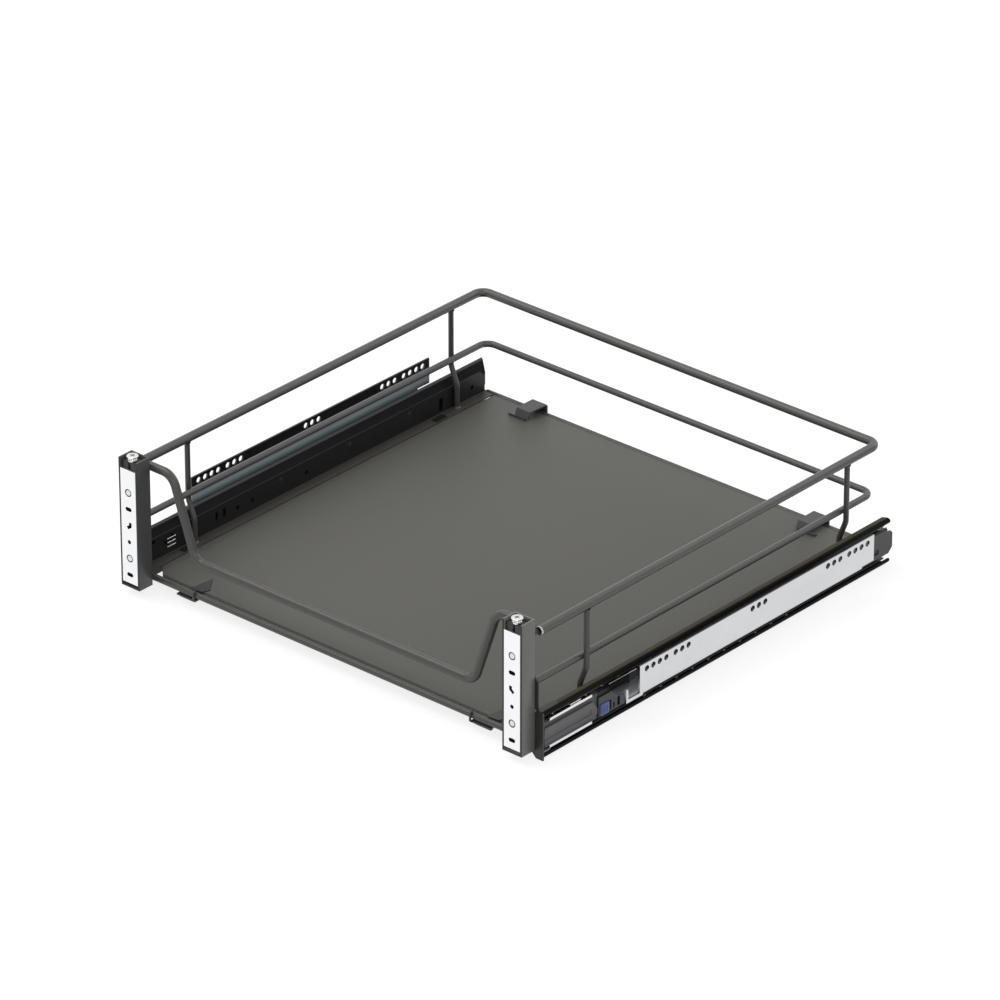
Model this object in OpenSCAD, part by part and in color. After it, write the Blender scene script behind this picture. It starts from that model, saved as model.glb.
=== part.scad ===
// Telescopic pull-out drawer for a kitchen base cabinet: a board floor in a wire gallery,
// carried by two full-extension ball slides, with two front brackets for the door panel.
// X runs across the cabinet, Y from the door (front) to the rear, Z is up.
// The pieces are drawn with y = 0 at the door side of the front brackets and z = 0 at the
// underside of the slides; placed() then moves them so that the origin is the centre of
// the foot print.

/* [Cabinet] */
// Clear width between the cabinet sides that the two cabinet brackets fill
opening_w = 518; // [490:2:564]

/* [Slides] */
// Length of the drawer profile of each slide
slide_l = 465; // [450:5:520]
// Height of the drawer profile
slide_h = 45; // [44:0.5:47]
// Thickness of the closed slide across the cabinet
slide_t = 12.2; // [12:0.1:13.4]
// Travel of the drawer from closed to full extension
travel = 450; // [300:10:450]
// Sheet thickness of the drawer profile
profile_t = 1.2; // [1:0.05:1.25]
// Sheet thickness of the middle profile
mid_t = 1.1; // [0.9:0.05:1.1]
// Sheet thickness of the cabinet profile
core_t = 1.2; // [1:0.05:1.3]
// Diameter of the balls between the drawer profile and the middle profile
outer_ball_d = 4; // [3.8:0.1:4]
// Diameter of the balls between the middle profile and the cabinet profile
inner_ball_d = 3; // [2.8:0.1:3]
// Distance between neighbouring balls in a cage
ball_pitch = 21; // [16:1:24]

/* [Cabinet brackets] */
// Length of the screw flange
flange_l = 313; // [306:1:324]
// Distance from the front plane to the screw flange
flange_y = 118; // [112:1:120]
// Upper edge of the screw flange above the underside of the slides
flange_top = 55; // [52:0.2:58]
// Lower edge of the screw flange above the underside of the slides
flange_bottom = 26.5; // [24:0.5:28]
// Distance of the screw flange from the open side of the slide
flange_out = 20.8; // [16:0.2:30]
// Sheet thickness of the cabinet bracket
flange_t = 1.8; // [1.5:0.1:2.2]
// Diameter of a screw hole
flange_hole_d = 5.6; // [4:0.2:6]
// Distance between neighbouring screw holes of a group
flange_pitch = 8.4; // [7.6:0.1:8.6]

/* [Front brackets] */
// Width of a front bracket
bracket_w = 21.5; // [20:0.5:24]
// Depth of a front bracket
bracket_d = 16.5; // [15:0.5:20]
// Height of a front bracket
bracket_h = 124.5; // [122:0.5:130]
// Lower end of the bracket above the underside of the slides
bracket_z = 7; // [5:0.5:9]
// Distance from the open side of the slide in to the outer face of the bracket
bracket_in = 7.7; // [7:0.1:10]
// Sheet thickness of the bracket
bracket_t = 1.6; // [1.2:0.1:1.8]
// Distance between the hole centres of a fixing plate
hole_pitch = 16; // [15:0.5:16.5]
// Diameter of the round screw hole of a fixing plate
plate_hole_d = 3.8; // [3:0.2:4.6]
// Travel of the fixing plate up and down from its middle position
adjust = 2.5; // [1:0.5:2.5]

/* [Gallery] */
// Diameter of the top rail and of the front wire
rail_d = 8; // [7:0.5:9]
// Diameter of the middle rail
mid_d = 6; // [5:0.5:6]
// Diameter of the posts
post_d = 5; // [4:0.5:5.5]
// Height of the top rail axis above the underside of the slides
rail_z = 117.2; // [108:0.2:120]
// Height of the middle rail axis above the underside of the slides
mid_z = 67.2; // [62:0.2:74]
// Bend radius of the rail corners
rail_bend = 10; // [8:1:25]
// Height of the lower run of the front wire above the underside of the slides
wire_z = 46; // [36:0.5:60]

/* [Floor] */
// Thickness of the floor board
board_t = 8; // [6:1:8]
// Diameter of the bars that carry the board
bar_d = 6; // [5:0.5:6]

/* [Hidden] */
$fn = 48;
gap = 0.3;
weld = 0.1;
eps = 0.01;
cut = 40;

// Planes across the cabinet, for the right-hand side
wall_x = opening_w / 2;
slide_x = wall_x - flange_out;
web_x = slide_x - slide_t;
bracket_x = slide_x - bracket_in;
bracket_mid = bracket_x - bracket_w / 2;

// Planes from front to rear
end_t = 1.5;
slide_y = bracket_d + end_t;
slide_end = bracket_d + slide_l - 1.5;
member_y = slide_y + 1.5;
member_end = slide_end + 4;
total_d = member_end;
rail_x = bracket_x - 1.5;
rail_end = slide_end - 8.5;
rail_y = bracket_d + 8;

// Cross-section of the slide: u runs from its open side inwards, v from its middle line up
half = slide_h / 2;
outer_r = outer_ball_d / 2 + gap;
outer_u = outer_r + profile_t;
outer_v = half - outer_u;
mid_flange = outer_v - outer_r;
inner_r = inner_ball_d / 2 + gap;
inner_u = 4.3;
inner_v = mid_flange - mid_t - inner_r;
core_v = inner_v - inner_r;
core_u = 0.6;
slope = 6;
cage_t = 0.5;
mid_u = slide_t - profile_t - 1 - gap - mid_t;
outer_cage_u = slide_t - profile_t - gap - cage_t;
inner_cage_u = mid_u - 0.4 - cage_t;
outer_cage_cut = outer_cage_u + outer_v + 1.5 * cage_t - (slide_t + half - slope)
  + (profile_t + gap) * sqrt(2);

// Lengths of the ball cages: at full travel their rear ends are still between their profiles
outer_cage_y = slide_y + travel / 4 + 14;
outer_cage_l = slide_end - travel / 4 - outer_cage_y;
inner_cage_y = member_y + 7;
inner_cage_l = slide_end - 6 - travel / 4 - inner_cage_y;

// Floor: the board lies on the under bars, between the shelves of the two side rails
board_z = 9;
board_top = board_z + board_t;
rail_t = 1;
rail_face = web_x - rail_t;
shelf_w = 10.6;
shelf_z = board_top + 0.6 - rail_t;
board_x = rail_face - shelf_w - 0.6;
board_y = bracket_d + 7;
board_end = rail_end - 1;
board_cut = 10.5;
bar_y = bracket_d + bar_d / 2 - weld;
bar_z = board_top - bar_d / 2 - 0.5;
back_bar_y = board_end + gap + bar_d / 2;
back_bar_z = board_top - bar_d / 2 + 0.5;
under_z = board_z - bar_d / 2;
under_ys = [board_y + 62, (board_y + board_end) / 2, board_end - 62];
post_ys = [bracket_d + 67.5, rail_end - 42.5];
post_low_x = rail_face - post_d / 2 - 0.5;
mid_x = rail_x - post_d / 2 - mid_d / 2 + weld;

// Front fixing: plate, guide bolts, block and adjusting screw
first_hole = bracket_z + 12.75;
plate_back = 2;
plate_z = bracket_z + bracket_t + adjust + gap;
plate_top = bracket_z + bracket_h - 9.5;
plate_w = bracket_w - 2 * bracket_t - 2 * gap;
tab_z = plate_top - 13;
block_z = bracket_z + bracket_h - 12.5;
block_h = 9.5;
screw_y = 6.5;
screw_d = 4.6;
head_d = 10.4;
head_z = bracket_z + bracket_h - 0.9;
bolt_rows = [1, 5];
bolt_d = 4;
bolt_head_d = 5.4;
bush_d = 7.4;
bush_t = 1.2;

// The catch of the self-closing unit turns on a pin in the cabinet profile
cover_l = 67.5;
unit_y = member_y + cover_l + 1.5;
unit_l = 36.5;
unit_t = 1.3;
catch_w = 11;
catch_play = 0.7;
catch_y = unit_y + 7.5;
catch_z = half - 6;
pin_d = 3;
pin_out = 1.1;

// Moves a piece from the drawing frame to the frame of the whole drawer
module placed() {
  translate([0, -total_d / 2, 0]) children();
}

// Draws the right-hand piece, or its mirror image for the left
module on_side(side) {
  if (side > 0) children();
  else mirror([1, 0, 0]) children();
}

// Draws a piece on both sides
module both_sides() {
  for (side = [-1, 1]) on_side(side) children();
}

// Extrudes a slide cross-section (u, v) along Y from y by length l on the right-hand side
module run(y, l) {
  translate([slide_x, y + l, half]) rotate([90, 0, 0]) mirror([1, 0, 0])
    linear_extrude(l) children();
}

// Cylinder along X that starts at p
module x_cyl(p, d, l) {
  translate(p) rotate([0, 90, 0]) cylinder(d = d, h = l);
}

// Cylinder along Y that starts at p
module y_cyl(p, d, l) {
  translate(p) rotate([-90, 0, 0]) cylinder(d = d, h = l);
}

// Upright slot through a sheet that lies across X
module z_slot(p, w, h, t) {
  for (s = [-1, 1]) x_cyl([p[0], p[1], p[2] + s * (h - w) / 2], w, t);
  translate([p[0], p[1] - w / 2, p[2] - (h - w) / 2]) cube([t, w, h - w]);
}

function heading(a, b) = atan2(b[1] - a[1], b[0] - a[0]);
function wrap(t) = t > 180 ? t - 360 : t < -180 ? t + 360 : t;
function turn(a, b, c) = wrap(heading(b, c) - heading(a, b));
function setback(a, b, c, r) = r * tan(abs(turn(a, b, c)) / 2);

// Round wire bent along the points of a plane, with radius r at every corner; the bends
// are a hair thicker than the straight lengths, which run a little way into them
module wire(pts, d, r) {
  last = len(pts) - 1;
  lap = 0.4;
  swell = 0.06;
  for (i = [0 : last - 1]) {
    a = pts[i];
    b = pts[i + 1];
    h = heading(a, b);
    back = i == 0 ? 0 : setback(pts[i - 1], a, b, r) - lap;
    ahead = i + 1 == last ? 0 : setback(a, b, pts[i + 2], r) - lap;
    translate([a[0] + back * cos(h), a[1] + back * sin(h), 0]) rotate([0, 0, h])
      rotate([0, 90, 0]) cylinder(d = d, h = norm(b - a) - back - ahead);
  }
  if (last > 1) for (i = [1 : last - 1]) {
    b = pts[i];
    h = heading(pts[i - 1], b);
    t = turn(pts[i - 1], b, pts[i + 1]);
    sb = setback(pts[i - 1], b, pts[i + 1], r);
    s = t > 0 ? 1 : -1;
    translate([b[0] - sb * cos(h) - s * r * sin(h), b[1] - sb * sin(h) + s * r * cos(h), 0])
      rotate([0, 0, t > 0 ? h - 90 : h + 90 + t])
        rotate_extrude(angle = abs(t)) translate([r, 0]) circle(d = d + swell);
  }
}

// Outline from u0 to u1 and v up and down, with its two corners at u1 cut off at 45 degrees
module channel(u0, u1, v, c) {
  polygon([[u0, -v], [u1 - c, -v], [u1, -v + c], [u1, v - c], [u1 - c, v], [u0, v]]);
}

// Section of the drawer profile: a C with sloped shoulders, its edges curled over the balls
module drawer_section() {
  difference() {
    union() {
      channel(outer_u, slide_t, half, slope);
      for (s = [-1, 1]) translate([outer_u, s * outer_v]) circle(r = outer_u);
    }
    for (s = [-1, 1]) translate([outer_u, s * outer_v]) circle(r = outer_r);
    channel(outer_u, slide_t - profile_t, half - profile_t, slope - profile_t * (2 - sqrt(2)));
    translate([-eps, 1.4 - outer_v]) square([outer_u + 2 * eps, 2 * outer_v - 2.8]);
  }
}

// Section of the middle profile: a smaller C, with raceways outside and inside its flanges
module middle_section() {
  foot = outer_u + outer_r + mid_t;
  corner = 1;
  back = mid_u + mid_t;
  difference() {
    union() {
      difference() {
        channel(outer_u - 1.5, back, mid_flange, corner);
        channel(outer_u - 1.6, mid_u, mid_flange - mid_t, corner - mid_t * (2 - sqrt(2)));
      }
      for (s = [-1, 1]) {
        translate([outer_u, s > 0 ? mid_flange - mid_t : -outer_v + 0.6])
          square([foot - outer_u, outer_r + mid_t - 0.6]);
        translate([inner_u, s > 0 ? inner_v + 0.6 : -mid_flange])
          square([inner_r + mid_t, mid_flange - inner_v - 0.6]);
      }
    }
    for (s = [-1, 1]) {
      translate([outer_u, s * outer_v]) circle(r = outer_r);
      translate([inner_u, s * inner_v]) circle(r = inner_r);
    }
  }
}

// Section of the cabinet profile: its web closes the mouth of the slide
module cabinet_section() {
  root = inner_u - inner_r - core_t + 0.1;
  difference() {
    union() {
      translate([core_u, -core_v]) square([core_t, 2 * core_v]);
      for (s = [-1, 1]) {
        translate([core_u, s > 0 ? core_v - core_t : -core_v])
          square([inner_u + inner_r - core_u, core_t]);
        translate([root, s > 0 ? core_v - core_t : -inner_v + 0.6])
          square([inner_r + core_t - 0.1, inner_r + core_t - 0.6]);
      }
    }
    for (s = [-1, 1]) translate([inner_u, s * inner_v]) circle(r = inner_r);
  }
}

// Section of a ball cage: a U of thin strip whose legs pass through the ball centres
module cage_section(web_u, ball_v, from_u, cut_uv) {
  difference() {
    channel(from_u, web_u + cage_t, ball_v + cage_t / 2, cut_uv);
    channel(from_u - eps, web_u, ball_v - cage_t / 2, max(eps, cut_uv - cage_t * (2 - sqrt(2))));
  }
}

// Balls of one cage, in a top and a bottom row
module balls(y, l, u, v, d) {
  margin = 8;
  for (i = [0 : floor((l - 2 * margin) / ball_pitch)], s = [-1, 1])
    translate([slide_x - u, y + margin + i * ball_pitch, half + s * v]) sphere(d = d);
}

// Rivet places along the foot of the cabinet bracket
rivet_ys = [flange_y + 30, flange_y + flange_l / 2, flange_y + flange_l - 50];
rivet_d = 3;
rivet_z = half - 5;

// First hole and number of holes of each group along the screw flange, from the front
edge = 9;
group_step = 3 * flange_pitch + 12.3;
span = flange_l - 2 * edge;
group_ys = [0, group_step, span / 2 - flange_pitch, span - group_step - 2 * flange_pitch,
  span - 3 * flange_pitch];
group_ns = [4, 3, 3, 3, 4];
flange_hole_z = flange_top - 5.3;

// Z-shaped bracket of zinc-plated sheet: screw flange at the cabinet side, floor and foot;
// an L-shaped tab reaches forward from the lower front corner of the flange
module cabinet_bracket(side) {
  foot_x = slide_x - core_u;
  bend_r = 2.5;
  floor_y = flange_y - 10;
  step_l = unit_y + unit_l + 5 - floor_y;
  front_x = foot_x + unit_t + gap;
  floor_end = flange_y + flange_l - 16;
  foot_z = rivet_z - 5;
  tab_y = flange_y - 17.4;
  tab_l = 21.4;
  arm_w = 2.5;
  arm_h = 12.6;
  strip_h = 3;
  color("silver") placed() on_side(side) difference() {
    union() {
      translate([wall_x - flange_t, flange_y, flange_bottom + bend_r])
        cube([flange_t, flange_l, flange_top - flange_bottom - bend_r]);
      translate([wall_x - bend_r, flange_y, flange_bottom + bend_r]) rotate([-90, 0, 0])
        intersection() {
          difference() {
            cylinder(r = bend_r, h = flange_l);
            translate([0, 0, -eps]) cylinder(r = bend_r - flange_t, h = flange_l + 2 * eps);
          }
          cube([bend_r, bend_r, flange_l]);
        }
      translate([foot_x, floor_y + step_l, flange_bottom])
        cube([wall_x - bend_r - foot_x, floor_end - floor_y - step_l, flange_t]);
      translate([front_x, floor_y, flange_bottom])
        cube([wall_x - bend_r - front_x, step_l + eps, flange_t]);
      translate([wall_x - flange_t, tab_y, flange_bottom]) cube([flange_t, tab_l, strip_h]);
      translate([wall_x - flange_t, tab_y, flange_bottom]) cube([flange_t, arm_w, arm_h]);
      translate([foot_x, floor_y + step_l, foot_z])
        cube([flange_t, floor_end - floor_y - step_l, flange_bottom - foot_z + eps]);
    }
    for (g = [0 : len(group_ys) - 1], i = [0 : group_ns[g] - 1])
      x_cyl([wall_x - cut / 2, flange_y + edge + group_ys[g] + i * flange_pitch, flange_hole_z],
        flange_hole_d, cut);
    translate([wall_x - bend_r - eps, floor_end - eps, flange_bottom - eps])
      cube([bend_r + 2 * eps, cut, flange_t + 1.5]);
    for (y = rivet_ys) x_cyl([foot_x - eps, y, rivet_z], rivet_d, flange_t + 2 * eps);
  }
}

// Cabinet profile: the innermost member of the slide, fixed to the cabinet bracket; its
// rear end is lower, with its upper corner nipped and its lower corner cut off
module cabinet_profile(side) {
  low_l = 7;
  low = 3;
  nip = 3.8;
  corner = 6.4;
  hole_w = 5.4;
  hole_h = 4.8;
  color("dimgray") placed() on_side(side) difference() {
    run(member_y, member_end - member_y) cabinet_section();
    translate([slide_x - cut, member_end - low_l, half + core_v - low]) cube([2 * cut, cut, cut]);
    translate([slide_x, member_end, half + core_v - low]) rotate([45, 0, 0])
      cube([2 * cut, nip, nip], center = true);
    translate([slide_x, member_end, half - core_v]) rotate([45, 0, 0])
      cube([2 * cut, corner, corner], center = true);
    x_cyl([slide_x - cut / 2, catch_y, catch_z], pin_d, cut);
    for (y = rivet_ys) x_cyl([slide_x - cut / 2, y, rivet_z], rivet_d, cut);
    translate([slide_x - cut / 2, member_end - 24.5, half - 8]) cube([cut, hole_w, hole_h]);
  }
}

// Rivets that hold the feet of the cabinet brackets to the cabinet profiles
module bracket_rivets() {
  color("silver") placed() both_sides() for (y = rivet_ys) {
    x_cyl([slide_x - core_u - core_t - 0.8, y, rivet_z], 5, 0.8);
    x_cyl([slide_x - core_u - core_t - eps, y, rivet_z], rivet_d, core_t + flange_t + 2 * eps);
    x_cyl([slide_x - core_u + flange_t, y, rivet_z], 5, 0.8);
  }
}

// Ribbed cover on the front end of the cabinet profile, with its rear corners cut off
module profile_cover(side) {
  skin = 0.9;
  low = -11.2;
  high = 6.5;
  slant = 6.3;
  rib_t = 0.6;
  rib_w = 1.2;
  groove_h = 4.5;
  color("gray") placed() on_side(side)
    translate([slide_x - core_u, member_y + 0.5, half]) difference() {
      union() {
        rotate([90, 0, 90]) linear_extrude(skin)
          polygon([[0, low], [cover_l - slant, low], [cover_l, low + 3.9], [cover_l, high - 9],
            [cover_l - slant, high], [0, high]]);
        for (v = [high - rib_w, low]) translate([skin - eps, 0, v])
          cube([rib_t, cover_l - slant, rib_w]);
      }
      translate([skin / 2, -eps, -5]) cube([cut, cover_l - 8, groove_h]);
    }
}

// Housing of the self-closing unit on the cabinet profile: a window for the catch, two
// upright slots and one window with an arched top
module catch_housing(side) {
  low = half - 11.7;
  high = half + 7;
  window = catch_w + 2 * catch_play;
  slot_w = 2;
  arch_w = 3.3;
  arch_z = half - 3;
  color("darkslategray") placed() on_side(side) difference() {
    translate([slide_x - core_u, unit_y, low]) cube([unit_t, unit_l, high - low]);
    translate([slide_x - cut / 2, catch_y - window / 2, catch_z - window / 2])
      cube([cut, window, window]);
    z_slot([slide_x - cut / 2, unit_y + 15.4, half - 5.5], slot_w, 10, cut);
    z_slot([slide_x - cut / 2, unit_y + 19.8, half - 7.4], slot_w, 6, cut);
    translate([slide_x - cut / 2, unit_y + 24.2, half - 9.9]) cube([cut, arch_w, arch_z - half + 9.9]);
    x_cyl([slide_x - cut / 2, unit_y + 24.2 + arch_w / 2, arch_z], arch_w, cut);
  }
}

// Pins that the catches turn on
module catch_pins() {
  head_t = 0.8;
  color("silver") placed() both_sides() {
    x_cyl([slide_x - core_u - core_t - head_t, catch_y, catch_z], 4.5, head_t);
    x_cyl([slide_x - core_u - core_t - eps, catch_y, catch_z], pin_d, core_t + pin_out);
  }
}

// Blue catch: a block with rounded corners and a raised rib, with a blind hole for the pin
module catch_lever(side) {
  r = 1.5;
  t = 1.9;
  back = slide_x - core_u + gap;
  rib_w = 2;
  color("royalblue") placed() on_side(side) difference() {
    union() {
      translate([back, catch_y, catch_z]) rotate([90, 0, 90]) linear_extrude(t) {
        square([catch_w - 2 * r, catch_w], center = true);
        square([catch_w, catch_w - 2 * r], center = true);
        for (a = [-1, 1], b = [-1, 1]) translate([a, b] * (catch_w / 2 - r)) circle(r = r);
      }
      translate([back + t - eps, catch_y - catch_w / 2 + r, catch_z + 1])
        cube([0.6, catch_w - 2 * r, rib_w]);
    }
    x_cyl([back - cut, catch_y, catch_z], pin_d + 2 * gap, cut + pin_out);
  }
}

// Middle profile between the cabinet profile and the drawer profile
module middle_profile(side) {
  front = 14;
  color("dimgray") placed() on_side(side) difference() {
    run(slide_y + front, slide_end - slide_y - front - 6) middle_section();
    for (y = [slide_y + 40, slide_end - 30])
      z_slot([slide_x - cut / 2, y, half], 4, 9, cut);
  }
}

// Cage of the inner balls, with two bright lips at the front of the mouth of the slide
module inner_cage(side) {
  lip_u = core_u - gap - cage_t - 0.1;
  lip_h = 2.4;
  lip_l = 54;
  leg_u = inner_u - 1;
  outside = inner_v + cage_t / 2;
  color("gainsboro") placed() on_side(side) difference() {
    union() {
      run(inner_cage_y, inner_cage_l) cage_section(inner_cage_u, inner_v, leg_u, eps);
      run(inner_cage_y, lip_l) for (s = [-1, 1]) {
        translate([lip_u, s > 0 ? outside - lip_h : -outside]) square([cage_t, lip_h]);
        translate([lip_u, s * inner_v - cage_t / 2]) square([leg_u - lip_u + eps, cage_t]);
      }
    }
    balls(inner_cage_y, inner_cage_l, inner_u, inner_v, inner_ball_d);
  }
}

// Cage of the outer balls
module outer_cage(side) {
  color("gainsboro") placed() on_side(side) difference() {
    run(outer_cage_y, outer_cage_l)
      cage_section(outer_cage_u, outer_v, outer_u - 1.6, outer_cage_cut);
    balls(outer_cage_y, outer_cage_l, outer_u, outer_v, outer_ball_d);
  }
}

// Balls between the cabinet profile and the middle profile
module inner_balls(side) {
  color("white") placed() on_side(side)
    balls(inner_cage_y, inner_cage_l, inner_u, inner_v, inner_ball_d);
}

// Balls between the middle profile and the drawer profile
module outer_balls(side) {
  color("white") placed() on_side(side)
    balls(outer_cage_y, outer_cage_l, outer_u, outer_v, outer_ball_d);
}

// Drawer profile: the outermost member of the slide, fixed to the side rail of the drawer
module drawer_profile(side) {
  color("dimgray") placed() on_side(side) difference() {
    run(slide_y, slide_end - slide_y) drawer_section();
    translate([slide_x, slide_end, 0]) rotate([0, 0, 35]) translate([-cut, 0, -eps])
      cube([2 * cut, 20, cut * 2]);
    side_holes();
  }
}

// Plastic stops in the raceways at the front ends of the drawer profiles
module end_stops() {
  color("lightgray") placed() both_sides() for (s = [-1, 1])
    y_cyl([slide_x - outer_u, slide_y, half + s * outer_v], 2 * outer_r - 0.4, 12);
}

// Holes through the web of the drawer profile and the side rail
module side_holes() {
  x0 = web_x - 20;
  scale_y = slide_l / 465;
  slot_w = 3.4;
  slot_h = 8;
  nick = [cut, 2, 8];
  x_cyl([x0, slide_y + 17, slide_h - slope - 3.4], 4, cut);
  for (y = [124, 143, 213, 435]) x_cyl([x0, slide_y + y * scale_y, half + 5], 4.2, cut);
  for (y = [97, 107]) z_slot([x0, slide_y + y * scale_y, half + 7], slot_w, slot_h, cut);
  for (i = [0, 1, 2]) translate([x0, slide_y + 36 + 4 * i, half + 2.5 + 2.5 * i])
    rotate([50, 0, 0]) cube(nick);
  translate([x0, slide_y + 390 * scale_y, half - 2]) cube([cut, 5, 12]);
}

// Side rail of the drawer: an angle of sheet behind the drawer profile, its shelf inwards
module side_rail(side) {
  rise = under_z - bar_d / 2;
  top = slide_h - slope;
  rail_l = slide_end - slide_y - 10;
  tab_w = shelf_w - 5;
  tab_l = 14;
  tab_h = 1.2;
  nick = 8;
  color("dimgray") placed() on_side(side) difference() {
    union() {
      translate([rail_face, slide_y, rise]) cube([rail_t, rail_l, top - rise]);
      translate([rail_face - shelf_w, slide_y, shelf_z]) cube([shelf_w + eps, rail_l, rail_t]);
      for (y = [slide_y + 46, slide_y + 376 * slide_l / 465])
        translate([rail_face - shelf_w + 1, y, shelf_z + rail_t - eps]) cube([tab_w, tab_l, tab_h]);
    }
    side_holes();
    translate([rail_face - 2.6, slide_y + 33, shelf_z - eps]) cube([1.4, 25, rail_t + 2 * eps]);
    translate([rail_face - 1, slide_y + rail_l, top]) rotate([45, 0, 0])
      cube([12, nick, nick], center = true);
  }
}

// End brackets: they close the front ends of the slides and tie them to the front brackets
module end_brackets() {
  over = 1.4;
  ridge_x = slide_x - slide_t + slope;
  ridge_w = 4.8;
  flap_l = 22;
  rib_x = bracket_x - 1.2;
  rib_w = 4.8;
  rib_h = 31;
  rib_drop = 5;
  top = slide_h + end_t;
  color("dimgray") placed() both_sides() {
    run(bracket_d, end_t) channel(-over, slide_t, half, slope);
    translate([ridge_x, bracket_d, slide_h - 1]) cube([ridge_w, end_t, 1 + end_t]);
    translate([ridge_x, bracket_d, slide_h]) cube([ridge_w, flap_l, end_t]);
    translate([rib_x, bracket_d + end_t, top - eps]) rotate([90, 0, 0]) linear_extrude(end_t)
      polygon([[0, 0], [rib_w, 0], [rib_w, rib_h - rib_drop], [0, rib_h]]);
  }
}

// Rivets that hold each drawer profile to its side rail
module rail_rivets() {
  color("dimgray") placed() both_sides() for (y = [70, 180, 270, 350])
    x_cyl([rail_face - 0.8, slide_y + y * slide_l / 465, half + 10], 5.5, 0.8);
}

// Floor board with its front corners cut off and a small bevel along its upper edges
module floor_board() {
  bevel = 0.6;
  module outline(in) {
    x = board_x - in;
    y = board_y + in;
    end = board_end - in;
    polygon([[-x, y + board_cut], [board_cut - x, y], [x - board_cut, y], [x, y + board_cut],
      [x, end], [-x, end]]);
  }
  color("darkslategray") placed() {
    translate([0, 0, board_z]) linear_extrude(board_t - bevel) outline(0);
    translate([0, 0, board_top - bevel - eps]) linear_extrude(bevel + eps) outline(bevel);
  }
}

// Bars under the floor board, welded to the side rails
module under_bars() {
  color("dimgray") placed() for (y = under_ys)
    x_cyl([-rail_face, y, under_z], bar_d, 2 * rail_face);
}

// Bar between the two front brackets
module front_bar() {
  color("dimgray") placed() x_cyl([-bracket_mid - 4, bar_y, bar_z], bar_d, 2 * bracket_mid + 8);
}

// Bar between the two side rails at the rear
module back_bar() {
  color("dimgray") placed() x_cyl([-rail_face, back_bar_y, back_bar_z], bar_d, 2 * rail_face);
}

// Bent strip of sheet: the middle line of its cross-section runs through the points
module strip(pts, t) {
  for (i = [0 : len(pts) - 2]) translate(pts[i]) {
    rotate(heading(pts[i], pts[i + 1])) translate([0, -t / 2]) square([norm(pts[i + 1] - pts[i]), t]);
    if (i > 0) circle(d = t);
  }
}

clip_t = 1.4;
clip_x = 170.5;

// Lays a clip section (y, z) across the drawer from x on, over width w
module clip(pts, x, w) {
  translate([x, 0, 0]) rotate([90, 0, 90]) linear_extrude(w) strip(pts, clip_t);
}

// Clips under the front edge of the board, each with a narrow hook round the front bar and a lug
module front_clips() {
  reach = bar_d / 2 + clip_t / 2 + 0.1;
  over = board_top + clip_t / 2 + 0.05;
  under = board_z - clip_t / 2 - 0.05;
  front = bar_y - reach;
  bend = 1.2;
  w = 20.5;
  hook_w = 1.5;
  x = clip_x - w / 2;
  lug_d = 5;
  lug_z = bar_z - (bar_d + lug_d) / 2 - 0.2;
  color("dimgray") placed() both_sides() {
    clip([[bar_y - 1, over], [front + bend, over], [front, over - bend], [front, under + bend],
      [front + bend, under], [bar_y + 3, under]], x - hook_w + eps, hook_w);
    clip([[front + bend, under], [board_y + 20, under]], x, w);
    for (s = [-1, 1]) y_cyl([clip_x + s * (w - lug_d) / 2, bar_y, lug_z], lug_d, clip_t);
    translate([clip_x - (w - lug_d) / 2, bar_y, lug_z - lug_d / 2]) cube([w - lug_d, clip_t, lug_d]);
  }
}

// Clips that stand over the back bar and press with a wider lip on the rear edge of the board
module back_clips() {
  reach = bar_d / 2 + clip_t / 2 + 0.1;
  rear = back_bar_y + reach;
  top = board_top + 7;
  bend = 2;
  w = 16;
  x = 156;
  lip_w = 20;
  lip_x = 158.5;
  knee = board_end - 16;
  lip_y = board_end - 19;
  lip_z = board_top + clip_t / 2 + 0.1;
  color("dimgray") placed() both_sides() {
    clip([[rear, back_bar_z - 4], [rear, top - bend], [rear - bend, top], [knee, top],
      [lip_y, lip_z]], x, w);
    clip([[lip_y + 1, lip_z], [lip_y - 2, lip_z + 0.4]], lip_x, lip_w);
  }
}

// Thin pads on the board beside the front clips, the same way round on both sides
module clip_pads() {
  pad_t = 0.8;
  color("black") placed() for (x = [-clip_x, clip_x]) translate([x, 0, board_top])
    linear_extrude(pad_t) polygon([[4, 20], [7, 44], [19, 28], [16, 21]]);
}

// Top rail: one round wire bent round both sides and the rear
module top_rail() {
  color("gray") placed() translate([0, 0, rail_z])
    wire([[-rail_x, rail_y], [-rail_x, rail_end], [rail_x, rail_end], [rail_x, rail_y]],
      rail_d, rail_bend);
}

// Middle rail: a thinner wire inside the posts
module middle_rail() {
  color("gray") placed() translate([0, 0, mid_z])
    wire([[-mid_x, bracket_d], [-mid_x, rail_end], [mid_x, rail_end], [mid_x, bracket_d]],
      mid_d, rail_bend);
}

// Posts: they hang under the top rail, bend inwards and stand on the shelf of the side rail
module posts() {
  color("gray") placed() both_sides() for (y = post_ys) translate([0, y, 0]) rotate([90, 0, 0])
    wire([[rail_x, rail_z - rail_d / 2 + weld], [rail_x, mid_z - 9], [post_low_x, mid_z - 27],
      [post_low_x, shelf_z + rail_t]], post_d, 12);
}

// Front wire: rises from the lower run to the two front brackets
module front_wire() {
  top = rail_z + 3.8;
  end_x = bracket_mid - 5;
  upper_x = bracket_mid - 33.75;
  lower_x = bracket_mid - 59.5;
  color("gray") placed() translate([0, bracket_d + rail_d / 2 - weld, 0]) rotate([90, 0, 0])
    wire([[-end_x, top], [-upper_x, top], [-lower_x, wire_z], [lower_x, wire_z],
      [upper_x, top], [end_x, top]], rail_d, 14);
}

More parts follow.
